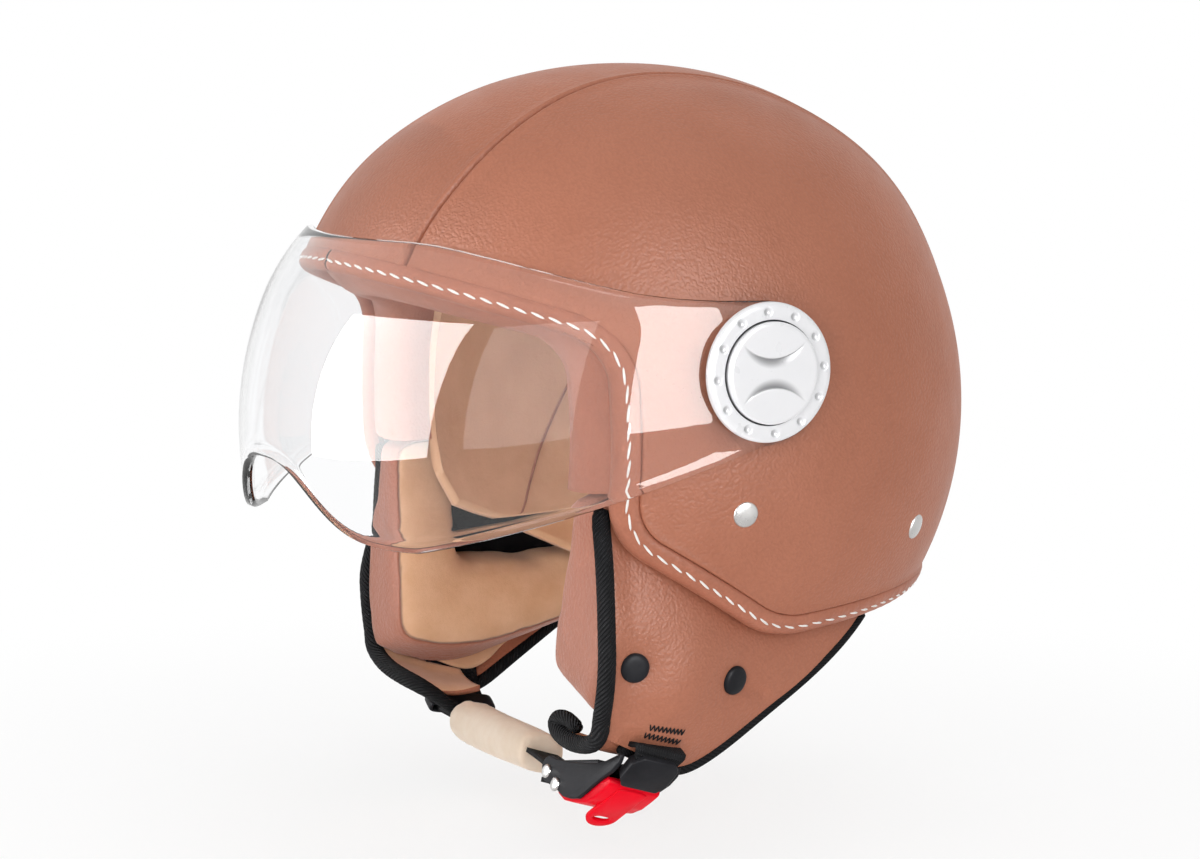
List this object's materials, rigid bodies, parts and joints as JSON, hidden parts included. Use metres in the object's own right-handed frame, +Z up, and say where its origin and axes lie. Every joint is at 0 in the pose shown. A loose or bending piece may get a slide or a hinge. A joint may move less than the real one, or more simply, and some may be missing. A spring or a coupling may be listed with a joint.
{
  "type": "open face motorcycle helmet",
  "caption": "Open face motorcycle helmet covered in stitched leather, with a clear turning bubble visor, ear flaps, suede pads and a ratchet chin strap.",
  "frame": {"origin": "midway between the two visor pivots", "axes": "+X to the wearer's left along the pivots' axis, -Y to the front, +Z up"},
  "size_m": [0.2678, 0.2819, 0.2778],
  "materials": {
    "leather": "satin",
    "suede": "matte",
    "webbing": "matte",
    "shell": "matte",
    "foam": "matte",
    "visor": "gloss",
    "silver": "polished",
    "steel": "satin",
    "black_plastic": "satin",
    "red_plastic": "gloss"
  },
  "bodies": {
    "helmet": {"outer_shell": "shell", "leather_centre_panel": "leather", "leather_left_panel": "leather", "leather_right_panel": "leather", "edge_binding": "leather", "impact_liner": "foam", "crown_lining": "suede", "left_lining": "suede", "right_lining": "suede", "face_trim": "leather", "nape_lining": "leather", "left_cheek_pad": "suede", "right_cheek_pad": "suede", "left_ear_flap": "leather", "right_ear_flap": "leather", "left_flap_lining": "suede", "right_flap_lining": "suede", "left_flap_piping": "webbing", "right_flap_piping": "webbing", "left_flap_binding": "webbing", "right_flap_binding": "webbing", "press_studs": "black_plastic", "strap_rivets": "steel", "rivet_washers": "steel", "left_pivot_base": "black_plastic", "right_pivot_base": "black_plastic", "pivot_nuts": "steel", "pivot_washers": "steel", "left_pivot_bezel": "silver", "right_pivot_bezel": "silver", "left_strap_webbing": "webbing", "right_strap_webbing": "webbing", "strap_sleeve": "suede", "buckle_body": "black_plastic", "webbing_pin": "steel", "lever_pin": "steel", "lever_spring": "steel"},
    "visor": {"visor": "visor"},
    "left_knob": {"left_pivot_knob": "silver", "left_pivot_screw": "steel"},
    "right_knob": {"right_pivot_knob": "silver", "right_pivot_screw": "steel"},
    "lever": {"buckle_lever": "red_plastic"},
    "tongue": {"ratchet_tongue": "black_plastic"},
    "slider": {"strap_slider": "black_plastic"}
  },
  "joints": [
    {"name": "visor_hinge", "type": "hinge", "parent": "helmet", "child": "visor", "pos_m": [0, 0, 0], "axis": [-1, 0, 0], "range_deg": [0, 80]},
    {"name": "left_knob_turn", "type": "hinge", "parent": "helmet", "child": "left_knob", "pos_m": [0.13, 0, 0], "axis": [1, 0, 0], "range_deg": [0, 90]},
    {"name": "right_knob_turn", "type": "hinge", "parent": "helmet", "child": "right_knob", "pos_m": [-0.13, 0, 0], "axis": [-1, 0, 0], "range_deg": [0, 90]},
    {"name": "lever_lift", "type": "hinge", "parent": "helmet", "child": "lever", "pos_m": [0.05834, -0.03562, -0.16124], "axis": [-0.0241, 0.9526, -0.3033], "range_deg": [0, 30], "stiffness_Nm_per_rad": 0.05},
    {"name": "tongue_slide", "type": "slide", "parent": "helmet", "child": "tongue", "axis": [0.9779, 0.0856, 0.1908], "range_m": [0, 0.006], "deforming": ["left_strap_webbing"]},
    {"name": "slider_slide", "type": "slide", "parent": "helmet", "child": "slider", "axis": [0.9135, -0.2019, -0.3533], "range_m": [-0.004, 0.004]}
  ]
}
